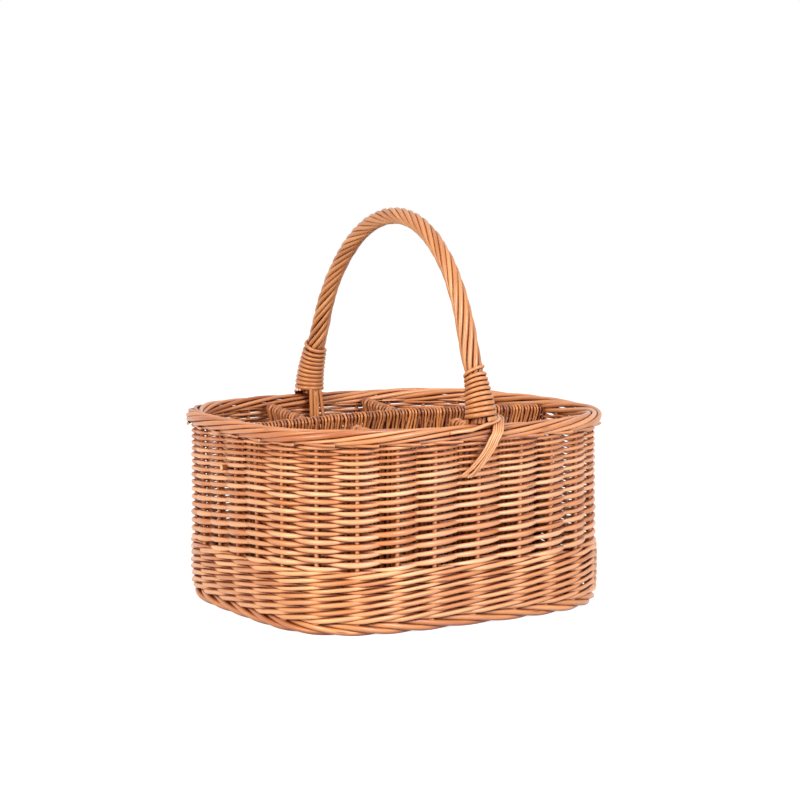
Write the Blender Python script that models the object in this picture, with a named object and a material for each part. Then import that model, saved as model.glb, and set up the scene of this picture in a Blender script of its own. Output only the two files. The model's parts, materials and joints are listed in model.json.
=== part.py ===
"""A willow bottle basket: oval-cornered wall woven on thirty stakes, six bottle cells, roped bow handle.

Metres, +Z up. The origin is the middle of the foot border, on the ground. X runs along the basket and Y
across it. The handle crosses from the front wall (-Y) to the back wall (+Y).
"""

import math

import bmesh
import bpy
import numpy as np
from mathutils import Vector

# Driving sizes of the whole basket, at the centre of the border rods.
RIM_HALF_LENGTH = 0.1909
RIM_HALF_WIDTH = 0.1715
RIM_HEIGHT = 0.190
RIM_SQUARENESS = 3.0
BASE_SQUARENESS = 3.9

# The gap that is left where one piece rests on another.
SEAT = 0.0003

# Rim border: a band of twisted rods on top of the stakes.
RIM_RADIAL = 0.0190
RIM_TALL = 0.0160

# Foot border: the twisted rods that the basket stands on.
FOOT_RADIAL = 0.0140
FOOT_TALL = 0.0130
FOOT_INSET = 0.0125

# Wall, at the centre of the stakes, measured inwards from the rim's centre.
WALL_FOOT_INSET = 0.0090
WALL_SHOULDER_INSET = 0.0045
WALL_TOP_INSET = 0.0022
SHOULDER_HEIGHT = 0.0300
UPSET_TOP = 0.0620
TOP_WALE_TALL = 0.0203
STAKE_COUNT = 30
STAKE_RADIUS = 0.0025
STAKE_SHIFT = 0.0066
HANDLE_STAKE_GAP = 0.0490
WEAVE_THICK = 0.0035
WEAVE_GAP = 0.0007
RING_STATIONS = 60

# Rows in each round of weave. A rod passes inside one stake in each stroke, and outside the others.
UPSET_ROW_COUNTS = (2, 3)
SIDING_ROW_COUNTS = (8, 8, 8)
TOP_WALE_ROW_COUNTS = (2,)
WALE_STROKE = 3
SIDING_STROKE = 2

# Base: a lattice of sticks between an under and an upper layer of weave.
BASE_LIFT = 0.0030
BASE_WEAVE = 0.0025
BASE_STICK_RADIUS = 0.0025
BASE_STICK_COUNT = 7
BASE_STICK_EDGE = 0.0290
BASE_CROSS_COUNT = 3
BASE_CROSS_EDGE = 0.0684
BASE_STICK_MARGIN = 0.0060

# Handle: a bow, a layer of rods roped round it, and their ends inside the walls.
BOW_RADIUS = 0.0038
HANDLE_RISE = 0.1960
HANDLE_FULLNESS = 2.1
LEG_FOOT_HEIGHT = 0.0830
ARCH_STATIONS = 40
ROPING_COUNT = 8
ROPING_DIAMETER = 0.0043
ROPING_GROOVE = 0.0010
ROPING_TURNS = 4
LEG_ROD_COUNT = 4
LEG_ROD_RADIUS = 0.0020
LEG_ROD_FOOT_HEIGHT = 0.0930

# Bindings: one rod wound round each leg just above the rim.
BINDING_RADIUS = 0.0021
BINDING_FLARE = 0.0025
BINDING_FRONT_PITCH = 0.0050
BINDING_BACK_PITCH = 0.0054
BINDING_FRONT_TURNS = 10
BINDING_BACK_TURNS = 10
BINDING_LOOP_POINTS = 12

# Lapping: rods laid over the rim beside each binding and swept down the wall.
LAPPING_COUNT = 4
LAPPING_RADIUS = 0.0016
LAPPING_START = 0.0130
LAPPING_SWEEP = 0.0260
LAPPING_DROP = 0.0330
LAPPING_STATIONS = 6

# Dividers: horizontal rails covered by a fold of upright skeins.
RAIL_RADIUS = 0.0028
SKEIN_THICK = 0.0018
LONG_ARCH = 0.0050
LONG_STATIONS = 10
CROSS_PLACE = 0.0595
BACK_WALL_RISE = 0.0010
BACK_MIDDLE_DROP = 0.0090
FRONT_MIDDLE_DROP = 0.0090
FRONT_WALL_DROP = 0.0140
THROUGH_RAIL_DROP = 0.0420
RAIL_STUB = 0.0030
RAIL_PARTED_COUNT = 2
RAIL_PARTED_EASE = 0.0060

# Willow colours, as linear red, green and blue.
BUFF = (0.62, 0.27, 0.095)
PALE = (0.68, 0.33, 0.13)
GOLD = (0.55, 0.22, 0.07)
BROWN = (0.40, 0.15, 0.045)

FULL_TURN = 2 * math.pi
FRONT_SHARE = 0.75
WALL_END_SHARES = (1.0, 1.5)
OUTLINE_STEPS = 1440
SECTION_SIDES = 8
SECTION_FLAT = math.cos(math.pi / SECTION_SIDES)
GROOVE_ACROSS = math.cos(math.pi / 6)
GROOVE_DEEP = math.sin(math.pi / 6)


def clear_scene():
    for item in list(bpy.data.objects):
        bpy.data.objects.remove(item, do_unlink=True)


# Materials and objects

def willow(name, colour, roughness):
    """A Principled material of peeled, boiled willow."""
    material = bpy.data.materials.new(name)
    material.use_nodes = True
    shader = material.node_tree.nodes["Principled BSDF"]
    shader.inputs["Base Color"].default_value = (*colour, 1.0)
    shader.inputs["Roughness"].default_value = roughness
    shader.inputs["Metallic"].default_value = 0.0
    return material


def add_object(name, data, colour, roughness=0.55):
    data.materials.append(willow(name + "_willow", colour, roughness))
    item = bpy.data.objects.new(name, data)
    bpy.context.scene.collection.objects.link(item)
    return item


def lofted(name, loops, wrap, colour):
    """A closed skin through equal loops of points, joined end to end or capped."""
    mesh = bpy.data.meshes.new(name)
    shape = bmesh.new()
    rings = [[shape.verts.new(point) for point in loop] for loop in loops]
    pairs = list(zip(rings, rings[1:]))
    if wrap:
        pairs.append((rings[-1], rings[0]))
    else:
        shape.faces.new(rings[0][::-1])
        shape.faces.new(rings[-1])
    for low, high in pairs:
        for index in range(len(low)):
            after = (index + 1) % len(low)
            shape.faces.new((low[index], low[after], high[after], high[index]))
    bmesh.ops.recalc_face_normals(shape, faces=shape.faces)
    shape.to_mesh(mesh)
    shape.free()
    return add_object(name, mesh, colour)


def rods(name, routes, radius, sides_level, colour):
    """Round rods with filled ends, one for each route of points."""
    curve = bpy.data.curves.new(name, "CURVE")
    curve.dimensions = "3D"
    curve.bevel_depth = radius
    curve.bevel_resolution = sides_level
    curve.use_fill_caps = True
    for route in routes:
        spline = curve.splines.new("POLY")
        spline.points.add(len(route) - 1)
        for point, place in zip(spline.points, route):
            point.co = (*place, 1.0)
        spline.use_smooth = True
    return add_object(name, curve, colour)


def rod(name, route, radius, sides_level, colour):
    return rods(name, [route], radius, sides_level, colour)


def as_mesh(item, colour):
    """The same object with its curve turned into a mesh, as a Boolean needs."""
    graph = bpy.context.evaluated_depsgraph_get()
    mesh = bpy.data.meshes.new_from_object(item.evaluated_get(graph))
    mesh.materials.clear()
    name = item.name
    bpy.data.objects.remove(item, do_unlink=True)
    return add_object(name, mesh, colour)


def as_guide(item):
    item.hide_render = True
    item.display_type = "WIRE"
    return item


def bundle_section(count, radius):
    """Across and outward places round a flat bundle of touching rods, with a groove between each two."""
    pitch = 2 * radius * GROOVE_ACROSS
    centres = [pitch * (index - (count - 1) / 2) for index in range(count)]
    face = [(centres[0], radius)]
    for centre in centres[1:]:
        face += [(centre - pitch / 2, radius * GROOVE_DEEP), (centre, radius)]
    back = [(across, -outward) for across, outward in face[::-1]]
    edge = centres[-1] + radius
    return [*face, (edge, 0.0), *back, (-edge, 0.0)]


# The wall's outline at each height

def outline(half_length, half_width, squareness):
    """Points, outward normals and the share of the way round at each point, from +X turning to +Y."""
    angle = np.linspace(0, FULL_TURN, OUTLINE_STEPS + 1)
    power = 2 / squareness
    x = half_length * np.sign(np.cos(angle)) * np.abs(np.cos(angle)) ** power
    y = half_width * np.sign(np.sin(angle)) * np.abs(np.sin(angle)) ** power
    steps = np.hypot(np.diff(x), np.diff(y))
    way = np.concatenate([[0], np.cumsum(steps)])
    normal_x = np.sign(x) * np.abs(x / half_length) ** (squareness - 1) / half_length
    normal_y = np.sign(y) * np.abs(y / half_width) ** (squareness - 1) / half_width
    size = np.hypot(normal_x, normal_y)
    return {
        "share": way / way[-1],
        "around": way[-1],
        "columns": np.stack([x, y, normal_x / size, normal_y / size], axis=1),
        "sizes": (half_length, half_width, squareness),
    }


def on_outline(shape, share, offset):
    """The point at this share of the way round, moved outwards by the offset."""
    values = [np.interp(share % 1.0, shape["share"], column) for column in shape["columns"].T]
    place = np.array(values[:2])
    normal = np.array(values[2:])
    return place + normal / np.linalg.norm(normal) * offset


def inset_outline(inset, squareness):
    return outline(RIM_HALF_LENGTH - inset, RIM_HALF_WIDTH - inset, squareness)


RIM_TOP = RIM_HEIGHT + RIM_TALL / 2
RIM_BOTTOM = RIM_HEIGHT - RIM_TALL / 2
SIDING_TOP = RIM_BOTTOM - TOP_WALE_TALL
RIM_LINE = outline(RIM_HALF_LENGTH, RIM_HALF_WIDTH, RIM_SQUARENESS)
FOOT_LINE = inset_outline(FOOT_INSET, BASE_SQUARENESS)
WALL_LINES = [
    (FOOT_TALL, inset_outline(WALL_FOOT_INSET, BASE_SQUARENESS)),
    (SHOULDER_HEIGHT, inset_outline(WALL_SHOULDER_INSET, (BASE_SQUARENESS + RIM_SQUARENESS) / 2)),
    (RIM_BOTTOM, inset_outline(WALL_TOP_INSET, RIM_SQUARENESS)),
]
WEAVE_OFFSET = STAKE_RADIUS + WEAVE_GAP + WEAVE_THICK / 2
WALL_HALF_THICK = WEAVE_OFFSET + WEAVE_THICK / 2
SIDING_PITCH = (SIDING_TOP - UPSET_TOP) / sum(SIDING_ROW_COUNTS)
ROWS_UNDER_RAIL = round((RIM_HEIGHT - THROUGH_RAIL_DROP - UPSET_TOP) / SIDING_PITCH)
THROUGH_RAIL_HEIGHT = UPSET_TOP + ROWS_UNDER_RAIL * SIDING_PITCH


def wall_levels(height):
    """The two wall outlines on either side of a height, and the share of the way between them."""
    for low, high in zip(WALL_LINES, WALL_LINES[1:]):
        if height <= high[0] or high is WALL_LINES[-1]:
            return low[1], high[1], (height - low[0]) / (high[0] - low[0])


def on_wall(share, height, offset=0.0):
    low, high, part = wall_levels(height)
    place = (1 - part) * on_outline(low, share, offset) + part * on_outline(high, share, offset)
    return Vector((place[0], place[1], height))


def half_span(height, across, axis):
    """How far the stakes' outline reaches along one axis (0 or 1), at this place on the other axis."""
    low, high, part = wall_levels(height)
    reach = []
    for line in (low, high):
        half, other = line["sizes"][axis], line["sizes"][1 - axis]
        squareness = line["sizes"][2]
        reach.append(half * (1 - abs(across / other) ** squareness) ** (1 / squareness))
    return (1 - part) * reach[0] + part * reach[1]


def inner_span(height, across, axis):
    """How far a piece inside the basket can reach before it rests against the weave or the rim."""
    reach = half_span(height, across, axis) - WALL_HALF_THICK
    if height > RIM_BOTTOM:
        rim = (RIM_HALF_LENGTH, RIM_HALF_WIDTH)
        share = 1 - abs(across / rim[1 - axis]) ** RIM_SQUARENESS
        reach = min(reach, rim[axis] * share ** (1 / RIM_SQUARENESS) - RIM_RADIAL / 2)
    return reach - WEAVE_GAP


# Border rings

def ring_loops(line, radial, tall, middle_height):
    """Eight-sided sections round an outline, flat on top and underneath."""
    loops = []
    for station in range(RING_STATIONS):
        share = station / RING_STATIONS
        loop = []
        for corner in range(SECTION_SIDES):
            angle = FULL_TURN * (corner + 0.5) / SECTION_SIDES
            offset = radial / 2 * math.cos(angle) / SECTION_FLAT
            place = on_outline(line, share, offset)
            lift = tall / 2 * math.sin(angle) / SECTION_FLAT
            loop.append((place[0], place[1], middle_height + lift))
        loops.append(loop)
    return loops


def make_borders():
    foot = ring_loops(FOOT_LINE, FOOT_RADIAL, FOOT_TALL, FOOT_TALL / 2)
    lofted("foot_border", foot, True, GOLD)
    rim = ring_loops(RIM_LINE, RIM_RADIAL, RIM_TALL, RIM_HEIGHT)
    lofted("rim_border", rim, True, PALE)


# Stakes and the woven wall

def stake_shares():
    """Where each stake stands round the wall. The gaps beside the two handle stakes are wider."""
    around = WALL_LINES[-1][1]["around"]
    per_side = STAKE_COUNT // 2
    pitch = (around / 2 - 2 * HANDLE_STAKE_GAP) / (per_side - 2)
    places = [0.0] + [HANDLE_STAKE_GAP + pitch * step for step in range(per_side - 1)]
    start = FRONT_SHARE - STAKE_SHIFT / around
    return [start + (half * around / 2 + place) / around for half in (0, 1) for place in places]


STAKES = stake_shares()


def make_stakes():
    """Each upright stands on the foot border and carries the rim border."""
    for index, share in enumerate(STAKES):
        heights = (FOOT_TALL + SEAT, SHOULDER_HEIGHT, RIM_BOTTOM - SEAT)
        route = [on_wall(share, height) for height in heights]
        rod(f"stake_{index + 1:02d}", route, STAKE_RADIUS, 1, BUFF)


def bend_numbers(low, high):
    """Stake numbers at which a rod of this row bends, from the back stake all the way round.

    It bends beside each stake, and four times more where it gives way to the through rail at each end.
    """
    back_stake = STAKE_COUNT // 2
    numbers = [back_stake + step for step in range(STAKE_COUNT)]
    reach = RAIL_PARTED_COUNT * SIDING_PITCH
    if low < THROUGH_RAIL_HEIGHT + reach and high > THROUGH_RAIL_HEIGHT - reach:
        way = [*STAKES, STAKES[0] + 1]
        full = (RAIL_RADIUS + 2 * SEAT) / WALL_LINES[-1][1]["around"]
        faded = full + RAIL_PARTED_EASE / WALL_LINES[-1][1]["around"]
        for end in WALL_END_SHARES:
            for place in (end - faded, end - full, end + full, end + faded):
                number = np.interp(place, way, range(STAKE_COUNT + 1))
                numbers.append(number if number > back_stake else number + STAKE_COUNT)
    return sorted(numbers)


def parted(height, across):
    """Rows give way above and below the through rail, the nearest the most."""
    gap = height - THROUGH_RAIL_HEIGHT
    near = 1 - abs(gap) / (RAIL_PARTED_COUNT * SIDING_PITCH)
    full = RAIL_RADIUS + 2 * SEAT
    beside = np.interp(abs(across), (full, full + RAIL_PARTED_EASE), (1.0, 0.0))
    return height + math.copysign(RAIL_RADIUS + SEAT, gap) * max(near, 0.0) * beside


def woven_rod(name, edges, first_row, stroke, colour):
    """One rod that winds round the stakes and on from row to row, inside one stake in each stroke."""
    loops = []
    for row, (low, high) in enumerate(edges, first_row):
        numbers = bend_numbers(low, high)
        stakes = range(int(numbers[0]), int(numbers[0]) + STAKE_COUNT + 1)
        sides = [-1.0 if (stake + row) % stroke == stroke - 1 else 1.0 for stake in stakes]
        for number in numbers:
            share = np.interp(number % STAKE_COUNT, range(STAKE_COUNT + 1), [*STAKES, STAKES[0] + 1])
            middle = np.interp(number, stakes, sides) * WEAVE_OFFSET
            faces = (middle - WEAVE_THICK / 2, middle + WEAVE_THICK / 2)
            corners = [(faces[0], low), (faces[1], low), (faces[1], high), (faces[0], high)]
            loop = [on_wall(share, height, offset) for offset, height in corners]
            loops.append([Vector((place.x, place.y, parted(place.z, place.y))) for place in loop])
    lofted(name, loops, False, colour)


def row_edges(low, high, rows):
    """The lower and upper edges of even rows between two heights, each a seat apart."""
    edges = np.linspace(low, high, rows + 1)
    return [(lower + SEAT / 2, upper - SEAT / 2) for lower, upper in zip(edges, edges[1:])]


def make_layer(names, rows, low, high, stroke, colour):
    """Rounds of weave between two heights, each of them one rod and each with its own number of rows."""
    edges = row_edges(low, high, sum(rows))
    first = 0
    for name, count in zip(names, rows):
        woven_rod(name, edges[first:first + count], first, stroke, colour)
        first += count


def make_wall():
    """The upset and the top wale pass outside two stakes and inside one. The siding passes one by one."""
    upset_names = [f"upset_round_{index + 1}" for index in range(len(UPSET_ROW_COUNTS))]
    make_layer(upset_names, UPSET_ROW_COUNTS, FOOT_TALL + SEAT, UPSET_TOP, WALE_STROKE, GOLD)
    siding_names = [f"siding_round_{index + 1}" for index in range(len(SIDING_ROW_COUNTS))]
    make_layer(siding_names, SIDING_ROW_COUNTS, UPSET_TOP, SIDING_TOP, SIDING_STROKE, BUFF)
    make_layer(["top_wale"], TOP_WALE_ROW_COUNTS, SIDING_TOP, RIM_BOTTOM - SEAT, WALE_STROKE, PALE)


# Base

def stick_routes(count, edge, axis, height):
    """Parallel sticks across the base, each as long as the base is there.

    The outermost ones keep this far from the foot border's inner edge.
    """
    half, other, squareness = FOOT_LINE["sizes"][axis], FOOT_LINE["sizes"][1 - axis], BASE_SQUARENESS
    outermost = other - FOOT_RADIAL / 2 - edge
    routes = []
    for across in np.linspace(-outermost, outermost, count):
        reach = half * (1 - abs(across / other) ** squareness) ** (1 / squareness)
        reach -= FOOT_RADIAL / 2 + BASE_STICK_MARGIN
        ends = [(-reach, across), (reach, across)]
        routes.append([(*(end[::-1] if axis else end), height) for end in ends])
    return routes


def make_base():
    """Two layers of weave inside the foot border, with the pierced sticks between them."""
    reach = -(FOOT_RADIAL / 2 + SEAT)
    outline_points = [
        on_outline(FOOT_LINE, station / RING_STATIONS, reach) for station in range(RING_STATIONS)
    ]
    under_top = BASE_LIFT + BASE_WEAVE
    stick_height = under_top + SEAT + BASE_STICK_RADIUS
    upper_low = stick_height + BASE_STICK_RADIUS + SEAT
    floor = upper_low + BASE_WEAVE
    layers = {"base_weave_under": (BASE_LIFT, under_top), "base_weave_upper": (upper_low, floor)}
    for name, heights in layers.items():
        loops = [[(x, y, height) for x, y in outline_points] for height in heights]
        lofted(name, loops, False, GOLD)
    long_routes = stick_routes(BASE_STICK_COUNT, BASE_STICK_EDGE, 0, stick_height)
    cross_routes = stick_routes(BASE_CROSS_COUNT, BASE_CROSS_EDGE, 1, stick_height)
    slath = as_mesh(rods("base_slath", long_routes, BASE_STICK_RADIUS, 1, BROWN), BROWN)
    crossing = as_mesh(rods("base_cross_sticks", cross_routes, BASE_STICK_RADIUS, 1, BROWN), BROWN)
    pierced = slath.modifiers.new("pierced_sticks", "BOOLEAN")
    pierced.operation = "UNION"
    pierced.object = as_guide(crossing)
    return floor


# Handle

LEG_Y = min(
    RIM_HALF_WIDTH - RIM_RADIAL / 2,
    *(half_span(height, 0.0, 1) - WALL_HALF_THICK for height in (LEG_FOOT_HEIGHT, RIM_BOTTOM)),
) - SEAT - BOW_RADIUS
SPRING_HEIGHT = RIM_TOP + SEAT


def bow_arch():
    """Points of the arch from the front spring to the back one, and how far along each lies."""
    angle = np.linspace(0, math.pi, OUTLINE_STEPS + 1)
    power = 2 / HANDLE_FULLNESS
    y = -LEG_Y * np.sign(np.cos(angle)) * np.abs(np.cos(angle)) ** power
    z = SPRING_HEIGHT + HANDLE_RISE * np.abs(np.sin(angle)) ** power
    way = np.concatenate([[0], np.cumsum(np.hypot(np.diff(y), np.diff(z)))])
    return y, z, way


ARCH_Y, ARCH_Z, ARCH_WAY = bow_arch()
ARCH_LENGTH = ARCH_WAY[-1]


def on_arch(way):
    """The bow's centre and its outward direction this far along the arch from the front."""
    centre = Vector((0.0, np.interp(way, ARCH_WAY, ARCH_Y), np.interp(way, ARCH_WAY, ARCH_Z)))
    step = ARCH_LENGTH / OUTLINE_STEPS
    ends = [min(max(way + move, 0.0), ARCH_LENGTH) for move in (-step, step)]
    along_y = np.interp(ends[1], ARCH_WAY, ARCH_Y) - np.interp(ends[0], ARCH_WAY, ARCH_Y)
    along_z = np.interp(ends[1], ARCH_WAY, ARCH_Z) - np.interp(ends[0], ARCH_WAY, ARCH_Z)
    return centre, Vector((0.0, -along_z, along_y)).normalized()


def round_arch(way, radius, angle):
    """A point beside the bow, at this radius and angle from its outward direction."""
    centre, outward = on_arch(way)
    return centre + radius * (math.cos(angle) * outward + math.sin(angle) * Vector((1.0, 0.0, 0.0)))


ROPING_OUTSIDE = BOW_RADIUS + SEAT + ROPING_DIAMETER


def roping_loops(radii, turns):
    """Rings of points along the arch, at radii taken in turn, twisted by so many turns."""
    sides = 2 * ROPING_COUNT
    loops = []
    for station in range(ARCH_STATIONS + 1):
        part = station / ARCH_STATIONS
        angles = [FULL_TURN * (side / sides + turns * part) for side in range(sides)]
        way = ARCH_LENGTH * part
        loops.append([round_arch(way, radii[side % 2], angle) for side, angle in enumerate(angles)])
    return loops


def make_roping():
    """The roped rods lie side by side round the bow, so they are one twisted layer with a bore."""
    outer = roping_loops((ROPING_OUTSIDE, ROPING_OUTSIDE - ROPING_GROOVE), ROPING_TURNS)
    bore = (BOW_RADIUS + SEAT) / math.cos(math.pi / (2 * ROPING_COUNT))
    lofted("handle_roping", outer + roping_loops((bore, bore), 0)[::-1], True, BUFF)


def make_handle():
    arch = [on_arch(ARCH_LENGTH * step / ARCH_STATIONS)[0] for step in range(ARCH_STATIONS + 1)]
    route = [(0, -LEG_Y, LEG_FOOT_HEIGHT), *arch, (0, LEG_Y, LEG_FOOT_HEIGHT)]
    rod("handle_bow", route, BOW_RADIUS, 1, GOLD)
    make_roping()
    middle = LEG_Y - BOW_RADIUS - SEAT - LEG_ROD_RADIUS
    section = bundle_section(LEG_ROD_COUNT, LEG_ROD_RADIUS)
    for name, side in (("leg_rods_front", -1), ("leg_rods_back", 1)):
        heights = (LEG_ROD_FOOT_HEIGHT, SPRING_HEIGHT - SEAT)
        loops = [[(x, side * (middle - out), height) for x, out in section] for height in heights]
        lofted(name, loops, False, BROWN)


LOOP_FLAT = math.cos(math.pi / BINDING_LOOP_POINTS)
BINDING_TOP_CENTRE = (ROPING_OUTSIDE + WEAVE_GAP + BINDING_RADIUS) / LOOP_FLAT
BINDING_FOOT_CENTRE = BINDING_TOP_CENTRE + BINDING_FLARE


def least_gap(points, loop_points, radius):
    """The least space between the turns of one wound rod."""
    places = np.array([tuple(point) for point in points])
    least = math.inf
    for index in range(len(places) - loop_points // 2):
        after = places[index + loop_points // 2:]
        least = min(least, np.linalg.norm(after - places[index], axis=1).min())
    return least - 2 * radius


def make_binding(name, turns, pitch, front):
    """One rod wound up the leg from the rim, widest at the foot."""
    height = pitch * turns
    start = BINDING_RADIUS + SEAT
    points = []
    for step in range(turns * BINDING_LOOP_POINTS + 1):
        part = step / (turns * BINDING_LOOP_POINTS)
        way = start + height * part
        radius = BINDING_FOOT_CENTRE + (BINDING_TOP_CENTRE - BINDING_FOOT_CENTRE) * part
        angle = FULL_TURN * step / BINDING_LOOP_POINTS
        points.append(round_arch(way if front else ARCH_LENGTH - way, radius, angle))
    across = Vector((2 * BINDING_RADIUS, 0.0, 0.0))
    gap = least_gap(points, BINDING_LOOP_POINTS, BINDING_RADIUS)
    print(name, "least gap between turns, mm:", round(1000 * gap, 2))
    rod(name, [points[0] - across, *points, points[-1] + across], BINDING_RADIUS, 1, BUFF)


def make_lapping(name, side):
    """A bundle of rods from beside the binding over the rim and down the outside of the wall."""
    stand = SEAT + LAPPING_RADIUS
    wide = RIM_RADIAL / 2 / SECTION_FLAT + stand
    tall = RIM_TALL / 2 / SECTION_FLAT + stand
    binding_edge = LEG_Y + BINDING_FOOT_CENTRE + BINDING_RADIUS
    wall_edge = half_span(RIM_BOTTOM, 0.0, 1) + WALL_HALF_THICK + stand
    start = math.acos((binding_edge + stand - RIM_HALF_WIDTH) / wide)
    finish = -math.acos((wall_edge - RIM_HALF_WIDTH) / wide)
    route = []
    for step in range(LAPPING_STATIONS + 1):
        angle = start + (finish - start) * step / LAPPING_STATIONS
        height = RIM_HEIGHT + tall * math.sin(angle)
        route.append((RIM_HALF_WIDTH + wide * math.cos(angle), height, angle))
    lowest = RIM_HEIGHT - LAPPING_DROP
    for step in range(1, LAPPING_STATIONS):
        height = route[LAPPING_STATIONS][1]
        height += (lowest - height) * step / (LAPPING_STATIONS - 1)
        route.append((half_span(height, 0.0, 1) + WALL_HALF_THICK + stand, height, 0.0))
    section = bundle_section(LAPPING_COUNT, LAPPING_RADIUS)
    loops = []
    for y, height, angle in route:
        fallen = max(RIM_HEIGHT - height, 0.0) / LAPPING_DROP
        x = LAPPING_START - LAPPING_SWEEP * fallen ** 2
        places = []
        for across, out in section:
            place_y = y + out * math.cos(angle)
            places.append((-side * (x + across), side * place_y, height + out * math.sin(angle)))
        loops.append(places)
    lofted(name, loops, False, PALE)


# Dividers

SKEIN_INNER = (RAIL_RADIUS + SEAT) / SECTION_FLAT
SKEIN_OUTER = SKEIN_INNER + SKEIN_THICK


def divider_weave(name, floor, place, stations):
    """A fold of skeins over the top rail, with both skirts standing on the floor.

    place(part, across, height) gives the point. stations lists (part of the length, top height).
    """
    bottom = floor + SEAT
    loops = []
    for part, top in stations:
        crown = top - SKEIN_OUTER
        loop = []
        for radius, turned in ((SKEIN_OUTER, 1), (SKEIN_INNER, -1)):
            side = [(-radius, bottom), (-radius, SHOULDER_HEIGHT)]
            for step in range(5):
                angle = math.pi * (1 - step / 4)
                side.append((radius * math.cos(angle), crown + radius * math.sin(angle)))
            side += [(radius, SHOULDER_HEIGHT), (radius, bottom)]
            loop += side[::turned]
        loops.append([place(part, across, height) for across, height in loop])
    lofted(name, loops, False, GOLD)


def make_long_divider(floor):
    """The divider that runs the length of the basket. Its lower rail goes right through both ends."""

    def place(part, across, height):
        return Vector(((2 * part - 1) * inner_span(height, 0.0, 0), across, height))

    def top(part):
        return RIM_HEIGHT + LONG_ARCH * (1 - (2 * part - 1) ** 2)

    parts = [step / LONG_STATIONS for step in range(LONG_STATIONS + 1)]
    divider_weave("long_divider_weave", floor, place, [(part, top(part)) for part in parts])
    crown = [place(part, 0.0, top(part) - SKEIN_OUTER) for part in parts]
    rod("long_divider_top_rail", crown, RAIL_RADIUS, 2, BROWN)
    reach = half_span(THROUGH_RAIL_HEIGHT, 0.0, 0) + WALL_HALF_THICK + RAIL_STUB
    through = [(-reach, 0, THROUGH_RAIL_HEIGHT), (reach, 0, THROUGH_RAIL_HEIGHT)]
    rod("long_divider_through_rail", through, RAIL_RADIUS, 2, BROWN)


def make_cross_divider(name, floor, x, side, middle_top, wall_top):
    """Half of a cross divider, from the long divider to the front or back wall."""
    start = SKEIN_OUTER + SEAT

    def place(part, across, height):
        reach = inner_span(height, abs(x) + SKEIN_OUTER, 1)
        return Vector((x + across, side * (start + (reach - start) * part), height))

    divider_weave(f"{name}_weave", floor, place, [(0.0, middle_top), (1.0, wall_top)])
    rail = [place(0.0, 0.0, middle_top - SKEIN_OUTER), place(1.0, 0.0, wall_top - SKEIN_OUTER)]
    rod(f"{name}_rail", rail, RAIL_RADIUS, 1, BROWN)


def make_dividers(floor):
    make_long_divider(floor)
    back = (RIM_HEIGHT - BACK_MIDDLE_DROP, RIM_HEIGHT + BACK_WALL_RISE)
    front = (RIM_HEIGHT - FRONT_MIDDLE_DROP, RIM_HEIGHT - FRONT_WALL_DROP)
    for end, x in (("left", -CROSS_PLACE), ("right", CROSS_PLACE)):
        make_cross_divider(f"back_{end}_divider", floor, x, 1, *back)
        make_cross_divider(f"front_{end}_divider", floor, x, -1, *front)


clear_scene()
make_borders()
make_stakes()
make_wall()
FLOOR = make_base()
make_handle()
make_binding("binding_front", BINDING_FRONT_TURNS, BINDING_FRONT_PITCH, True)
make_binding("binding_back", BINDING_BACK_TURNS, BINDING_BACK_PITCH, False)
make_lapping("lapping_front", -1)
make_lapping("lapping_back", 1)
make_dividers(FLOOR)
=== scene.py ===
"""The looks of a willow bottle basket: every rod of its base, wall, borders, dividers and handle."""
import json
import math

import bpy
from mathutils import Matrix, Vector

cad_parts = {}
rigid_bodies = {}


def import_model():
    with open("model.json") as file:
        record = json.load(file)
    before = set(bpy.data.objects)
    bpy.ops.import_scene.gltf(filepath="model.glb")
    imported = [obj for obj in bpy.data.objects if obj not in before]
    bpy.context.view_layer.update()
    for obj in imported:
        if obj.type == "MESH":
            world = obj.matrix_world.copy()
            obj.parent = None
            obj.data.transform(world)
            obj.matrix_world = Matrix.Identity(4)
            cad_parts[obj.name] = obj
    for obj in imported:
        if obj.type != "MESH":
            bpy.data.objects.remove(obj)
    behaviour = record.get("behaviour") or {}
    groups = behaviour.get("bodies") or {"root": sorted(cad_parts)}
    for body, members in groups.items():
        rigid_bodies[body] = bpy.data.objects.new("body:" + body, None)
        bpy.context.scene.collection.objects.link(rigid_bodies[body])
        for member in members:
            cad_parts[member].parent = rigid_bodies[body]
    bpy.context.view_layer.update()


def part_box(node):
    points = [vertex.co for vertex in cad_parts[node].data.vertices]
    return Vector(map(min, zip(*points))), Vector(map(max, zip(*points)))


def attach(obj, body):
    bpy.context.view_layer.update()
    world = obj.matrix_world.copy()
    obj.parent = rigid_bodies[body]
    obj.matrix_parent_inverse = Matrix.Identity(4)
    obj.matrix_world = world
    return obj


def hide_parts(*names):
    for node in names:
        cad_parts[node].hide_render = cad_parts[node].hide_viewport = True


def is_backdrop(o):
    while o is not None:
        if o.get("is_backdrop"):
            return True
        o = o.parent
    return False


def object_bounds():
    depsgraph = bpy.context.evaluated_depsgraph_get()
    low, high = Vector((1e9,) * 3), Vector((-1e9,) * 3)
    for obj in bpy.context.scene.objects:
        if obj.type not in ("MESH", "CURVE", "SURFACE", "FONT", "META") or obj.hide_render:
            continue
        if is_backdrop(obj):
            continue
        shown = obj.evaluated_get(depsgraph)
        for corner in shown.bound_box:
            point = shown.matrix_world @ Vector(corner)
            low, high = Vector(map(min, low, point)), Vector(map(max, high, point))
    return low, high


for item in list(bpy.data.objects):
    bpy.data.objects.remove(item)
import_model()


# Base
# Seven long sticks pierced by three cross sticks carry a flat weave of thinner rods, which go over one long
# stick and under the next. All of it is willow, boiled and peeled. The foot border closes it all round.

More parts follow.
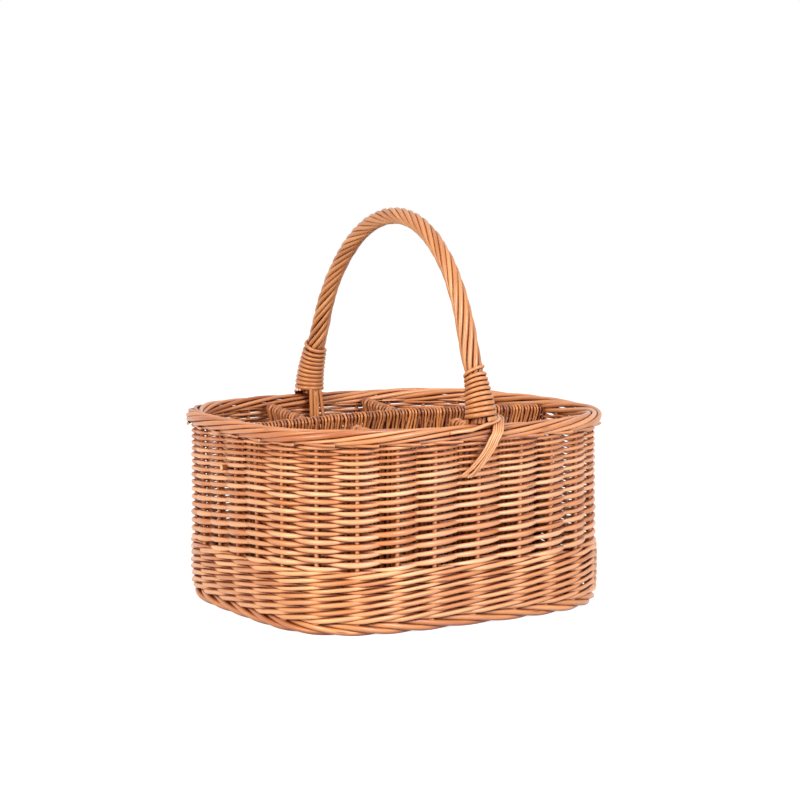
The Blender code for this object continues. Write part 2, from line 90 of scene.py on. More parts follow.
class Flow:
    """A number or a vector on its way through a node tree, so that a rule reads as arithmetic."""

    def __init__(self, tree, socket):
        self.tree = tree
        self.socket = socket

    def then(self, operation, *others):
        """The result of a Math node, or of a Vector Math node where one of the values is a vector."""
        values = [self, *others]
        vector = any(getattr(getattr(value, "socket", None), "type", "") == "VECTOR" for value in values)
        vector = vector or any(isinstance(value, tuple) for value in values)
        kind = "ShaderNodeVectorMath" if vector else "ShaderNodeMath"
        return made(self.tree, kind, dict(enumerate(values)), operation=operation)

    def __add__(self, other):
        return self.then("ADD", other)

    def __sub__(self, other):
        return self.then("SUBTRACT", other)

    def __rsub__(self, other):
        return self * -1 + other

    def __mul__(self, other):
        return self.then("MULTIPLY", other)

    __radd__ = __add__
    __rmul__ = __mul__

    def __truediv__(self, other):
        return self.then("DIVIDE", other)

    def __mod__(self, other):
        return self.then("FLOORED_MODULO", other)

    def __pow__(self, other):
        return self.then("POWER", other)

    def sin(self):
        return self.then("SINE")

    def cos(self):
        return self.then("COSINE")

    def floor(self):
        return self.then("FLOOR")

    def size(self):
        return self.then("ABSOLUTE")

    def at_most(self, other):
        return self.then("MINIMUM", other)

    def at_least(self, other):
        return self.then("MAXIMUM", other)

    def between(self, first, last):
        """Goes evenly from the first value to the last as this value goes from 0 to 1."""
        return (1 - self) * first + self * last

    def eased(self, low, high):
        """Rises smoothly from 0 to 1 as this value goes from low to high."""
        ends = {"Value": self, "From Min": low, "From Max": high}
        return made(self.tree, "ShaderNodeMapRange", ends, interpolation_type="SMOOTHSTEP")

    def noise(self):
        """Smooth noise from -1 to 1 at the place that this vector names, one cell to each unit."""
        settings = {"Vector": self, "Scale": 1.0, "Detail": 2.0}
        return made(self.tree, "ShaderNodeTexNoise", settings) * 2 - 1


def wired(tree, kind, values=None, **settings):
    """A new node with its settings made, and each input linked to a flow or set to a value."""
    node = tree.nodes.new(kind)
    for setting, value in settings.items():
        setattr(node, setting, value)
    for key, value in (values or {}).items():
        socket = node.inputs[key]
        if isinstance(value, Flow):
            tree.links.new(value.socket, socket)
        elif socket.type == "VECTOR" and not isinstance(value, (tuple, Vector)):
            socket.default_value = (value,) * 3
        else:
            socket.default_value = value
    return node


def made(tree, kind, values=None, output=0, **settings):
    """One output of a new node, as a flow."""
    return Flow(tree, wired(tree, kind, values, **settings).outputs[output])


def vector(x, y, z):
    """Three flows, of which some may be plain numbers, as one vector."""
    tree = next(value.tree for value in (x, y, z) if isinstance(value, Flow))
    return made(tree, "ShaderNodeCombineXYZ", {0: x, 1: y, 2: z})


def willow(name, dark, light, rough=0.42, open_at=0.78):
    """Peeled, boiled willow: a satin skin, streaked along the rod, mottled, scarred where buds sat.

    It is palest where a rod is cut across, and dull in the crevices of the weave, where painted shade makes
    it deep red brown. A place that at least open_at of the light reaches has none of that painted shade.
    """
    streak_cells, mottle_cells, bud_cells = (560, 560, 9), (70, 70, 22), (110, 110, 15)
    # The second colour here is painted shade: the deep red brown laid on where little light reaches.
    pith_colour, painted_shade_colour = (0.86, 0.54, 0.30), (0.32, 0.045, 0.007)
    material = bpy.data.materials.new(name)
    material.use_nodes = True
    tree = material.node_tree
    shader = tree.nodes["Principled BSDF"]
    grain = made(tree, "ShaderNodeAttribute", output="Vector", attribute_name="grain")
    tone = made(tree, "ShaderNodeAttribute", output="Fac", attribute_name="tone")
    cut_end = made(tree, "ShaderNodeAttribute", output="Fac", attribute_name="cut_end")
    streak = (grain * streak_cells).noise()
    mottle = (grain * mottle_cells).noise()
    bud = made(tree, "ShaderNodeTexVoronoi", {"Vector": grain * bud_cells, "Scale": 1.0}, "Distance")
    scar = 1 - bud.eased(0.05, 0.13)
    share = (tone * 0.80 + streak * 0.36 + mottle * 0.42 + 0.10).at_least(0).at_most(1)
    skin = share * light + (1 - share) * dark
    scarred = skin * (1 - scar * 0.55)
    pith = cut_end * 0.75
    bare = scarred * (1 - pith) + pith * pith_colour
    # Painted shade: where ambient occlusion finds that little light reaches, the colour is darkened towards
    # deep red brown.
    light_share = made(tree, "ShaderNodeAmbientOcclusion", {"Distance": 0.012}, "AO", samples=8)
    open_share = light_share.eased(0.05, open_at)
    shade = (1 - open_share) * painted_shade_colour + open_share
    colour = bare * shade
    tree.links.new(colour.socket, shader.inputs["Base Color"])
    gloss = (1 - open_share) * 0.3 + streak * 0.08 + mottle * 0.07 + rough
    tree.links.new(gloss.socket, shader.inputs["Roughness"])
    shader.inputs["Coat Weight"].default_value = 0.50
    shader.inputs["Coat Roughness"].default_value = 0.30
    height = streak * 0.4 + mottle * 0.7 - scar
    bump = made(tree, "ShaderNodeBump", {"Height": height, "Strength": 0.25, "Distance": 0.0003})
    tree.links.new(bump.socket, shader.inputs["Normal"])
    return material


class Loom:
    """A Geometry Nodes tree with named sizes, in which rods are laid along the rails that it is given."""

    def __init__(self, name, sizes):
        self.tree = bpy.data.node_groups.new(name, "GeometryNodeTree")
        face = self.tree.interface
        face.new_socket("Rails", in_out="INPUT", socket_type="NodeSocketGeometry")
        face.new_socket("Rods", in_out="OUTPUT", socket_type="NodeSocketGeometry")
        self.keys = {}
        for size, value in sizes.items():
            kind = "NodeSocketInt" if isinstance(value, int) else "NodeSocketFloat"
            self.keys[size] = face.new_socket(size, in_out="INPUT", socket_type=kind).identifier
        entry = self.tree.nodes.new("NodeGroupInput")
        self.rails = Flow(self.tree, entry.outputs["Rails"])
        self.sizes = {size: Flow(self.tree, entry.outputs[size]) for size in sizes}

    def __getitem__(self, size):
        return self.sizes[size]

    def on_rail(self, rail, share):
        """The place and the direction at this share of the way along one rail."""
        settings = {"Curves": self.rails, "Factor": share, "Curve Index": rail}
        node = wired(self.tree, "GeometryNodeSampleCurve", settings, mode="FACTOR")
        return Flow(self.tree, node.outputs["Position"]), Flow(self.tree, node.outputs["Tangent"])

    def random(self, low, high, number, seed):
        """A random number for each whole number, the same each time for one seed."""
        settings = {2: low, 3: high, "ID": number, "Seed": seed}
        return made(self.tree, "FunctionNodeRandomValue", settings, 1)

    def keep(self, shape, attribute, value, kind="FLOAT", domain="POINT"):
        """The shape with this value stored on it under a name."""
        settings = {"Geometry": shape, "Name": attribute, "Value": value}
        return made(self.tree, "GeometryNodeStoreNamedAttribute", settings, data_type=kind, domain=domain)

    def kept(self, attribute, kind="FLOAT"):
        """The value that is stored on the shape under a name."""
        return made(self.tree, "GeometryNodeInputNamedAttribute", {"Name": attribute}, data_type=kind)


def lay_rods(name, rails, sizes, rule, finish, seed=5):
    """Round willow rods as one plain mesh. The rule gives the place and the radius of each point.

    It is told the rod's number and how far along the rod the point lies, from 0 to 1. The seed picks how
    light each rod is. The values kept on the mesh for its finish are grain, tone and cut_end.
    """
    loom = Loom(name, sizes)
    tree = loom.tree
    index = made(tree, "GeometryNodeInputIndex")
    rod = ((index + 0.5) / loom["Steps"]).floor()
    part = (index - rod * loom["Steps"]) / (loom["Steps"] - 1)
    place, radius = rule(loom, rod, part)
    count = loom["Rods"] * loom["Steps"]
    shape = made(tree, "GeometryNodePoints", {"Count": count, "Position": place})
    shape = loom.keep(shape, "thick", radius)
    shape = loom.keep(shape, "rod", rod)
    shape = made(tree, "GeometryNodePointsToCurves", {0: shape, "Curve Group ID": rod, "Weight": part})
    shape = loom.keep(shape, "along", made(tree, "GeometryNodeSplineParameter", output=1))
    shape = loom.keep(shape, "lengthwise", made(tree, "GeometryNodeInputTangent"), "FLOAT_VECTOR")
    ring = made(tree, "GeometryNodeCurvePrimitiveCircle", {"Resolution": loom["Sides"], "Radius": 1.0})
    ring = loom.keep(ring, "ring", made(tree, "GeometryNodeInputPosition"), "FLOAT_VECTOR")
    sweep = {"Curve": shape, "Profile Curve": ring, "Scale": loom.kept("thick"), "Fill Caps": True}
    shape = made(tree, "GeometryNodeCurveToMesh", sweep)
    across = loom.kept("ring", "FLOAT_VECTOR") * loom.kept("thick")
    lengthwise = loom.kept("along") + loom.kept("rod") * 1.3
    shape = loom.keep(shape, "grain", across + vector(0.0, 0.0, lengthwise), "FLOAT_VECTOR")
    shape = loom.keep(shape, "tone", loom.random(0.0, 1.0, loom.kept("rod"), seed))
    directions = {0: made(tree, "GeometryNodeInputNormal"), 1: loom.kept("lengthwise", "FLOAT_VECTOR")}
    facing = made(tree, "ShaderNodeVectorMath", directions, "Value", operation="DOT_PRODUCT")
    cut = facing.size().then("GREATER_THAN", 0.7)
    shape = loom.keep(shape, "cut_end", cut, domain="FACE")
    for attribute in ("thick", "rod", "along", "lengthwise", "ring"):
        shape = made(tree, "GeometryNodeRemoveAttribute", {"Geometry": shape, "Name": attribute})
    smooth = {"Geometry": shape, "Selection": 1 - loom.kept("cut_end"), "Shade Smooth": True}
    shape = made(tree, "GeometryNodeSetShadeSmooth", smooth)
    shape = made(tree, "GeometryNodeRealizeInstances", {0: shape})
    shape = made(tree, "GeometryNodeSetMaterial", {0: shape, "Material": finish})
    leave = tree.nodes.new("NodeGroupOutput")
    tree.links.new(shape.socket, leave.inputs[0])
    host = bpy.data.objects.new(name + "_host", rails)
    bpy.context.scene.collection.objects.link(host)
    modifier = host.modifiers.new("rods", "NODES")
    modifier.node_group = tree
    for size, value in sizes.items():
        modifier[loom.keys[size]] = value
    graph = bpy.context.evaluated_depsgraph_get()
    mesh = bpy.data.meshes.new_from_object(host.evaluated_get(graph))
    host.modifiers.remove(modifier)
    bpy.data.objects.remove(host)
    mesh.name = name
    piece = bpy.data.objects.new(name, mesh)
    bpy.context.scene.collection.objects.link(piece)
    return piece


def superellipse(half_length, half_width, squareness, height):
    """Points of an oval with squared corners, from +X turning to +Y."""
    points = []
    for step in range(OUTLINE_POINTS):
        angle = 2 * math.pi * step / OUTLINE_POINTS
        x, y = math.cos(angle), math.sin(angle)
        x = math.copysign(half_length * abs(x) ** (2 / squareness), x)
        y = math.copysign(half_width * abs(y) ** (2 / squareness), y)
        points.append((x, y, height))
    return points


def rails_of(name, lines, closed):
    """Lines of points as one curve, for rods to be laid along."""
    curve = bpy.data.curves.new(name, "CURVE")
    curve.dimensions = "3D"
    for line in lines:
        spline = curve.splines.new("POLY")
        spline.points.add(len(line) - 1)
        for point, place in zip(spline.points, line):
            point.co = (*place, 1.0)
        spline.use_cyclic_u = closed
    return curve


OUTLINE_POINTS = 480
BASE_SQUARENESS = 3.9
LONG_STICK_COUNT = 7
CROSS_STICK_COUNT = 3
STICK_RADIUS = 0.0025
LONG_STICK_PITCH = 0.040
CROSS_STICK_PITCH = 0.100
BASE_ROD_COUNT = 86
BASE_ROD_RADIUS = 0.0018
ROWS_BETWEEN_CROSS_STICKS = 25
BASE_OVERLAP = 0.0030

foot_low, foot_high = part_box("foot_border")
FOOT_RADIAL = 0.0140
base_length = foot_high.x - FOOT_RADIAL
base_width = foot_high.y - FOOT_RADIAL
slath_low, slath_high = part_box("base_slath")
stick_height = (slath_low.z + slath_high.z) / 2


def base_reach(across, half):
    """The share of the base's length or width that is left at this distance from its middle line."""
    return (1 - (across.size() / half).at_most(1) ** BASE_SQUARENESS) ** (1 / BASE_SQUARENESS)


def stick_rule(loom, rod, part):
    """The long sticks come first and then the cross sticks, each as long as the base is there."""
    crossing = rod.then("GREATER_THAN", LONG_STICK_COUNT - 0.5)
    along_y = (rod - LONG_STICK_COUNT // 2) * LONG_STICK_PITCH
    across_x = (rod - LONG_STICK_COUNT - CROSS_STICK_COUNT // 2) * CROSS_STICK_PITCH
    away = part * 2 - 1
    bend = (rod * 7.3 + part * 3).sin() * loom["Bend"]
    x = crossing.between(away * base_reach(along_y, base_width) * base_length, across_x + bend)
    y = crossing.between(along_y + bend, away * base_reach(across_x, base_length) * base_width)
    return vector(x, y, stick_height), loom["Radius"] + part * loom["Butt"]


def base_weave_rule(loom, rod, part):
    """Rows of thinner rods across the long sticks, over one and under the next."""
    row = rod + loom["First row"]
    between = loom["Rows between"]
    group = (row / between).floor()
    clear = STICK_RADIUS + BASE_ROD_RADIUS
    x = (group - 2) * CROSS_STICK_PITCH + clear
    x = x + (row - group * between) * (CROSS_STICK_PITCH - 2 * clear) / (between - 1)
    y = (part * 2 - 1) * (base_reach(x, base_length) * base_width + BASE_OVERLAP)
    wave = ((y / LONG_STICK_PITCH + row) * math.pi).cos()
    z = wave * (STICK_RADIUS + BASE_ROD_RADIUS * 0.55) + stick_height
    shift = vector(y * 25, row * 0.7, 0.0).noise() * loom["Bend"]
    return vector(x + shift, y, z), loom["Radius"] * (1 + (rod * 2.1 + part * 5).sin() * 0.08)


base_brown = willow("base_willow", (0.30, 0.085, 0.02), (0.60, 0.23, 0.075), 0.52)
outlines = rails_of("base_outline", [superellipse(base_length, base_width, BASE_SQUARENESS, 0.0)], True)
sizes = {"Rods": LONG_STICK_COUNT + CROSS_STICK_COUNT, "Steps": 24, "Sides": 10, "Radius": STICK_RADIUS}
sizes.update({"Bend": 0.0006, "Butt": 0.0003})
base_sticks = lay_rods("base_sticks", outlines, sizes, stick_rule, base_brown)
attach(base_sticks, "root")
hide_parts("base_slath")

sizes = {"Rods": BASE_ROD_COUNT, "Steps": 62, "Sides": 6, "Radius": BASE_ROD_RADIUS, "Bend": 0.0006}
sizes.update({"First row": 7, "Rows between": ROWS_BETWEEN_CROSS_STICKS})
base_weave = lay_rods("base_weave", outlines, sizes, base_weave_rule, base_brown)
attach(base_weave, "root")
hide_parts("base_weave_under", "base_weave_upper")


# Stakes
# Thirty upright willow rods stand round the edge of the base, closer along the walls and wider apart beside
# the two under the handle. The wall is woven on them, and their tops are turned down to make the rim border.

RIM_SQUARENESS = 3.0
RIM_RADIAL = 0.0190
WALL_FOOT_INSET = 0.0105
WALL_SHOULDER_INSET = 0.0062
WALL_TOP_INSET = 0.0022
STAKE_COUNT = 30
STAKE_RADIUS = 0.0022
STAKE_LIFT = 0.001
STAKE_SHIFT = 0.0066
HANDLE_STAKE_GAP = 0.0490
FRONT_SHARE = 0.75
SHOULDER_HEIGHT = 0.0300
WALL_FOOT, WALL_SHOULDER, WALL_TOP, RIM_LINE, FOOT_LINE = range(5)

rim_low, rim_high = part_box("rim_border")
rim_length = rim_high.x - RIM_RADIAL / 2
rim_width = rim_high.y - RIM_RADIAL / 2
rim_height = (rim_low.z + rim_high.z) / 2
foot_height = (foot_low.z + foot_high.z) / 2


def inside_rim(inset, squareness, height):
    """A line round the wall, this far inside the rim's centre line."""
    return superellipse(rim_length - inset, rim_width - inset, squareness, height)


shoulder_squareness = (BASE_SQUARENESS + RIM_SQUARENESS) / 2
wall_top = inside_rim(WALL_TOP_INSET, RIM_SQUARENESS, rim_low.z)
wall_lines = [
    inside_rim(WALL_FOOT_INSET, BASE_SQUARENESS, foot_high.z),
    inside_rim(WALL_SHOULDER_INSET, shoulder_squareness, SHOULDER_HEIGHT),
    wall_top,
    inside_rim(0.0, RIM_SQUARENESS, rim_height),
    superellipse(foot_high.x - FOOT_RADIAL / 2, foot_high.y - FOOT_RADIAL / 2, BASE_SQUARENESS, foot_height),
]
wall_rails = rails_of("wall_rails", wall_lines, True)
around = sum(math.dist(a, b) for a, b in zip(wall_top, wall_top[1:] + wall_top[:1]))
per_side = STAKE_COUNT // 2
stake_pitch = (around / 2 - 2 * HANDLE_STAKE_GAP) / (per_side - 2)


def share_at(stake):
    """How far round the wall this stake number lies, as a share of the way."""
    half = (stake / per_side).floor()
    within = stake - half * per_side
    way = within.at_most(1) * HANDLE_STAKE_GAP
    way = way + (within - 1).at_least(0).at_most(per_side - 2) * stake_pitch
    way = way + (within - (per_side - 1)).at_least(0) * HANDLE_STAKE_GAP
    start = FRONT_SHARE - STAKE_SHIFT / around
    return (way / around + half * 0.5 + start) % 1.0


def outward_of(direction):
    """The level direction that points out of the basket, square to a line round it."""
    return direction.then("CROSS_PRODUCT", (0.0, 0.0, 1.0)).then("NORMALIZE")


def on_wall(loom, stake, height, outwards):
    """The place at this stake number and height, so far outwards from the line of the stakes."""
    share = share_at(stake)
    foot, foot_way = loom.on_rail(WALL_FOOT, share)
    shoulder, shoulder_way = loom.on_rail(WALL_SHOULDER, share)
    top, top_way = loom.on_rail(WALL_TOP, share)
    low = ((height - foot_high.z) / (SHOULDER_HEIGHT - foot_high.z)).at_least(-0.5).at_most(1)
    high = ((height - SHOULDER_HEIGHT) / (rim_low.z - SHOULDER_HEIGHT)).at_least(0).at_most(1)
    line = foot + (shoulder - foot) * low
    line = line + (top - line) * high
    way = foot_way + (shoulder_way - foot_way) * low
    way = way + (top_way - way) * high
    flat = line * (1, 1, 0) + outward_of(way) * outwards
    return flat + vector(0.0, 0.0, height)


def stake_rule(loom, rod, part):
    """An upright rod, thinner towards its top, where it turns in under the border."""
    height = part.between(loom["Lowest"], loom["Highest"])
    lean = vector(rod * 5, part * 2, 0.0).noise() * loom["Lean"]
    inward = part.eased(0.94, 1.0) * loom["Turned in"] - loom["Outward"]
    return on_wall(loom, rod + lean, height, inward * -1), loom["Radius"] * (1.12 - part * 0.2)


stake_gold = willow("stake_willow", (0.50, 0.16, 0.05), (0.80, 0.38, 0.18))
sizes = {"Rods": STAKE_COUNT, "Steps": 26, "Sides": 8, "Radius": STAKE_RADIUS}
sizes.update({"Lowest": foot_height + STAKE_LIFT, "Highest": rim_height})
sizes.update({"Lean": 0.02, "Turned in": 0.002, "Outward": 0.0006})
stakes = lay_rods("stakes", wall_rails, sizes, stake_rule, stake_gold)
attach(stakes, "root")
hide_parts(*(f"stake_{number:02d}" for number in range(1, STAKE_COUNT + 1)))


# Foot border
# The lower ends of the willow stakes, turned over and twisted round each other under the edge of the base,
# where the basket stands on them. Each leaves beside its stake, goes down the outside, under and up the
# inside, and ends on top in a thin tip.

def foot_rule(loom, rod, part):
    """A rod that turns once round the border's line while it passes its spacings of stakes."""
    turn = part.between(loom["First angle"], loom["Last angle"])
    tip = part.eased(0.86, 1.0)
    wobble = vector(rod * 3.1, part * 4, 0.0).noise()
    line, way = loom.on_rail(FOOT_LINE, share_at(rod + part * loom["Spacings"]))
    out = turn.cos() * loom["Half radial"] + tip * loom["Tip out"] + wobble * loom["Loose out"]
    up = turn.sin() * loom["Half tall"] + tip * loom["Tip up"] + wobble * loom["Loose up"]
    radius = loom["Radius"] * (1.0 - part * 0.12) * (1 - tip * 0.45)
    return line + outward_of(way) * out + vector(0.0, 0.0, up), radius


border_gold = willow("foot_willow", (0.44, 0.13, 0.035), (0.76, 0.34, 0.14))
sizes = {"Rods": STAKE_COUNT, "Steps": 46, "Sides": 10, "Radius": 0.0031, "Spacings": 4.0}
sizes.update({"First angle": math.radians(125), "Last angle": math.radians(-285)})
sizes.update({"Half radial": 0.0043, "Half tall": 0.0036, "Tip out": 0.0030, "Tip up": 0.0008})
sizes.update({"Loose out": 0.0007, "Loose up": 0.0003})
foot_border = lay_rods("foot_border_rods", wall_rails, sizes, foot_rule, border_gold)
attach(foot_border, "root")
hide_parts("foot_border")


# Upset
# Seven rounds of three strands each, laid just above the foot border to set the stakes upright. Each strand
# is two willow rods, which pass outside two stakes and inside the third. The strands are twisted over each
# other, so their strokes slant.

UPSET_ROUNDS = 7
UPSET_STRANDS = 3
upset_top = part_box("siding_round_1")[0].z


def wale_rule(loom, rod, part):
    """A rod that covers half of the way round, as one strand of its round, with its tip tucked inwards."""
    row = (rod / (2 * UPSET_STRANDS)).floor()
    strand = rod % UPSET_STRANDS
    half = ((rod - row * (2 * UPSET_STRANDS)) / UPSET_STRANDS).floor()
    begin = strand + 2 + row * UPSET_STRANDS + half * per_side
    stake = begin - loom["Overlap"] + part * (per_side + 2 * loom["Overlap"])
    turn = (stake - strand) * (2 * math.pi / UPSET_STRANDS) - math.pi / UPSET_STRANDS
    ends = 1 - part.eased(0.0, 0.03) * (1 - part.eased(0.97, 1.0))
    stroke = (turn.cos() * (4 / 3) + 1 / 3).at_most(loom["Most"])
    jitter = vector(stake * 0.9, rod * 3.7, row).noise()
    drift = vector(stake * 0.35, row * 0.4, 3.0).noise()
    out = stroke * loom["Reach"] - ends * part * loom["Radius"] * 1.4 + jitter * loom["Loose out"]
    height = (row + 0.5) * loom["Round height"] + loom["Lowest"]
    height = height + turn.sin() * loom["Slant"] + jitter * loom["Loose"] + drift * loom["Loose"] * 1.4
    thick = loom["Radius"] * (1.02 - part * 0.18) * (1 + loom.random(-0.14, 0.14, rod, 11))
    return on_wall(loom, stake, height, out), thick * (1 + stroke * 0.20)


upset_gold = willow("upset_willow", (0.52, 0.165, 0.042), (0.86, 0.45, 0.225), open_at=0.88)
round_height = (upset_top - foot_high.z) / UPSET_ROUNDS
sizes = {"Rods": UPSET_ROUNDS * UPSET_STRANDS * 2, "Steps": 136, "Sides": 9, "Radius": 0.00192}
sizes.update({"Overlap": 0.35, "Reach": 0.0037, "Most": 1.30, "Slant": 0.0024})
sizes.update({"Loose": 0.0006, "Loose out": 0.0004})
sizes.update({"Round height": round_height, "Lowest": foot_high.z})
upset = lay_rods("upset", wall_rails, sizes, wale_rule, upset_gold)
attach(upset, "root")
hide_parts("upset_round_1", "upset_round_2")


# Siding
# Rows of single willow rods, outside one stake and inside the next, each row the other way about from the
# one below. Two rods with their ends inside make a row. They thin from butt to tip, and the upper rows are
# thinner.

SIDING_ROWS = 26
FIRST_PITCH = 0.00447
PITCH_SHRINK = 0.0000260
ROW_STEP = 7
FIRST_ROD_SPAN = 14
FRONT_SLANT_FROM, FRONT_SLANT_TO = (26.3, 28.0), (6.0, 8.0)
LEFT_SLANT_FROM, LEFT_SLANT_TO = (18.0, 20.0), (23.2, 24.8)
THICK_FROM, THICK_TO = (7.0, 9.0), (23.0, 25.0)


def siding_rule(loom, rod, part):
    """Rows that lie closer the higher they are, with thinner rods, each fullest where it is outside a stake.

    The strokes slant on the right of the front and on the left wall. The rods are thicker round the back.
    """
    own_row = (rod / 2).floor()
    second = rod - own_row * 2
    row = own_row + loom["First row"]
    begin = row * ROW_STEP + 1 + second * FIRST_ROD_SPAN
    span = FIRST_ROD_SPAN + second * (STAKE_COUNT - 2 * FIRST_ROD_SPAN)
    stake = begin - loom["Overlap"] + part * (span + loom["Overlap"] * 2)
    ends = 1 - part.eased(0.0, 0.03) * (1 - part.eased(0.97, 1.0))
    jitter = vector(stake * 1.1, rod * 3.7, row).noise()
    drift = vector(stake * 0.3, row * 0.25, 7.0).noise()
    turn = (stake + row) * math.pi
    pitch = loom["First pitch"] - (row * 2 + 1) * loom["Pitch shrink"]
    outside = (turn.cos() * 1.12).at_most(1).at_least(-1)
    out = outside * loom["Reach"] - ends * part * pitch * 0.6 + jitter * loom["Loose out"]
    round_wall = stake % STAKE_COUNT
    slant = round_wall.eased(*FRONT_SLANT_FROM) + 1 - round_wall.eased(*FRONT_SLANT_TO)
    slant = slant + (round_wall.eased(*LEFT_SLANT_FROM) - round_wall.eased(*LEFT_SLANT_TO)) * 0.9
    from_stake = (turn / math.pi + 1) % 2 - 1
    stroke = from_stake * (1 - from_stake.size().eased(0.78, 1.0))
    height = (row + 0.5) * (loom["First pitch"] - (row + 0.5) * loom["Pitch shrink"]) + loom["Lowest"]
    height = height + (jitter * 0.08 + drift * 0.16 + stroke * slant * 0.85) * pitch
    far = round_wall.eased(*THICK_FROM) - round_wall.eased(*THICK_TO)
    thick = pitch * (far * 0.055 + 0.515) * (1 + outside * 0.27)
    thick = thick * (1.05 - part * 0.10) * (1 + loom.random(-0.13, 0.13, rod, 12))
    return on_wall(loom, stake, height, out), thick


siding_buff = willow("siding_willow", (0.54, 0.175, 0.045), (0.88, 0.49, 0.28), open_at=0.88)
rows = {"Steps": 170, "Sides": 8, "Overlap": 0.25, "Reach": 0.0036, "Loose out": 0.0003}
rows.update({"Lowest": upset_top, "First pitch": FIRST_PITCH, "Pitch shrink": PITCH_SHRINK})
sizes = {"Rods": SIDING_ROWS * 2, "First row": 0, **rows}
siding = lay_rods("siding", wall_rails, sizes, siding_rule, siding_buff)
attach(siding, "root")
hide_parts("siding_round_1", "siding_round_2", "siding_round_3")


# Top wale
# Nine rows of the thinnest willow rods close the wall under the rim border, and hold the stakes apart while
# these are turned down. They are woven on as the siding is.

TOP_ROWS = 9

wale_pale = willow("top_wale_willow", (0.46, 0.135, 0.035), (0.80, 0.37, 0.17))
sizes = {"Rods": TOP_ROWS * 2, "First row": SIDING_ROWS, **rows}
top_wale = lay_rods("top_wale_rods", wall_rails, sizes, siding_rule, wale_pale, seed=6)
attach(top_wale, "root")
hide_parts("top_wale")


# Rim border
# The tops of the willow stakes, each bent over sideways and rolled round its neighbours for seven and a half
# spacings: up the outside, in over the top, down the inside, and out underneath, where its tip sticks out.

def rim_rule(loom, rod, part):
    """A rod that turns once round the border's line. Each lies a little nearer or farther than the next."""
    turn = part.between(loom["First angle"], loom["Last angle"])
    tip = part.eased(0.84, 1.0)
    rise = 1 - part.eased(0.0, 0.08)
    wobble = vector(rod * 3.1, part * 4, 5.0).noise()
    line, way = loom.on_rail(RIM_LINE, share_at(rod + part * loom["Spacings"]))
    own = loom.random(-0.0010, 0.0010, rod, 41)
    out = turn.cos() * loom["Half radial"] + tip * loom["Tip out"] + wobble * loom["Loose out"] + own
    up = turn.sin() * loom["Half tall"] - tip * loom["Tip down"] - rise * loom["Rise"]
    up = up + wobble * loom["Loose up"] + own * 0.5
    radius = loom["Radius"] * (1.04 - part * 0.16) * (1 - tip * 0.3) * (1 + loom.random(-0.2, 0.2, rod, 3))
    return line + outward_of(way) * out + vector(0.0, 0.0, up), radius


rim_pale = willow("rim_willow", (0.38, 0.10, 0.024), (0.78, 0.35, 0.15), open_at=0.95)
sizes = {"Rods": STAKE_COUNT, "Steps": 56, "Sides": 12, "Radius": 0.00228, "Spacings": 7.5}
sizes.update({"First angle": math.radians(-100), "Last angle": math.radians(300)})
sizes.update({"Half radial": 0.0065, "Half tall": 0.0053, "Tip out": 0.0045, "Tip down": 0.0022})
sizes.update({"Rise": 0.003, "Loose out": 0.0013, "Loose up": 0.0010})
rim_border = lay_rods("rim_border_rods", wall_rails, sizes, rim_rule, rim_pale)
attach(rim_border, "root")
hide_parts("rim_border")


# Dividers
# Willow rails run the length of the basket and across it, with thin skeins folded over each upper rail and
# hanging down both sides to the base. The long divider's lower rail goes out through both end walls.

RAIL_RADIUS = 0.0028
SKEIN_RADIUS = 0.0014
SKEIN_PITCH = 0.0038
CROSS_SKEIN_RADIUS = 0.0021
CROSS_SKEIN_PITCH = 0.0062
SKEIN_STAND = RAIL_RADIUS + SKEIN_RADIUS
SKEIN_OUTER = 0.00516
LONG_ARCH = 0.0050
FLOOR_GAP = 0.0008
TUCK = 0.0062
RIGHT_REACH = 0.0090
CREST_FROM, CREST_TO = 0.3, 0.7
FRONT_RAIL_START = 0.0270
FRONT_RAIL_CROWN = 0.1810
LOW_SKEIN_DROP = 0.01448
BACK_RAIL_DIP = 0.0060

floor_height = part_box("base_weave_upper")[1].z + FLOOR_GAP
half_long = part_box("long_divider_top_rail")[1].x


def skein_rule(loom, rod, part):
    """A skein hangs from one side of its rail over the top to the other side, drawn in under the rail."""
    way = (rod + 0.5) / loom["Rods"]
    arc = (1 - way) * way * 4 * loom["Arch"]
    crown = way.between(loom["Crown at start"], loom["Crown at end"]) + arc
    reach = way.between(loom["Start"], loom["End"])
    before_rail = 1 - reach.eased(loom["Rail start"] - 0.002, loom["Rail start"])
    crown = crown - before_rail * loom["Low start"] + loom.random(-0.0005, 0.0005, rod, 23)
    lean = loom.random(-0.0016, 0.0016, rod, 21) + loom["Lean"]
    over = ((part - CREST_FROM) / (CREST_TO - CREST_FROM)).at_least(0).at_most(1) * math.pi
    fall = (((CREST_FROM - part).at_least(0) + (part - CREST_TO).at_least(0)) / CREST_FROM) ** 2
    height = crown + over.sin() * loom["Stand"] - fall * (crown - loom["Floor"])
    wave = vector(rod * 2.3, part * 6, 2.0).noise()
    squeeze = fall.eased(0.0, 0.06) * 0.45
    loose = wave * fall.eased(0.0, 0.2) * loom["Loose across"]
    across = over.cos() * loom["Stand"] * -1 * (1 - squeeze) + loose
    tuck = (SHOULDER_HEIGHT - height).at_least(0) / (SHOULDER_HEIGHT - floor_height) * TUCK
    inset = (way * 2 - 1) * tuck * loom["Tucked start"].at_least(way)
    drop = (crown - height) / (crown - loom["Floor"])
    swing = drop.eased(0.0, 0.14) * loom.random(-0.0065, 0.0, rod, 24)
    shift = lean * (part * 2 - 1) + wave * loom["Loose along"] + swing
    middle = reach - inset + shift
    turned = loom["Turned"]
    x = (1 - turned) * middle + turned * (loom["Place"] + across)
    y = (1 - turned) * across + turned * loom["Side"] * middle
    return vector(x, y, height), loom["Radius"] * (1 + loom.random(-0.22, 0.14, rod, 22))


def rail_rule(loom, rod, part):
    """A rail follows its own line from end to end."""
    place, way = loom.on_rail(rod, part)
    return place, loom["Radius"] * (1.03 - part * 0.06)


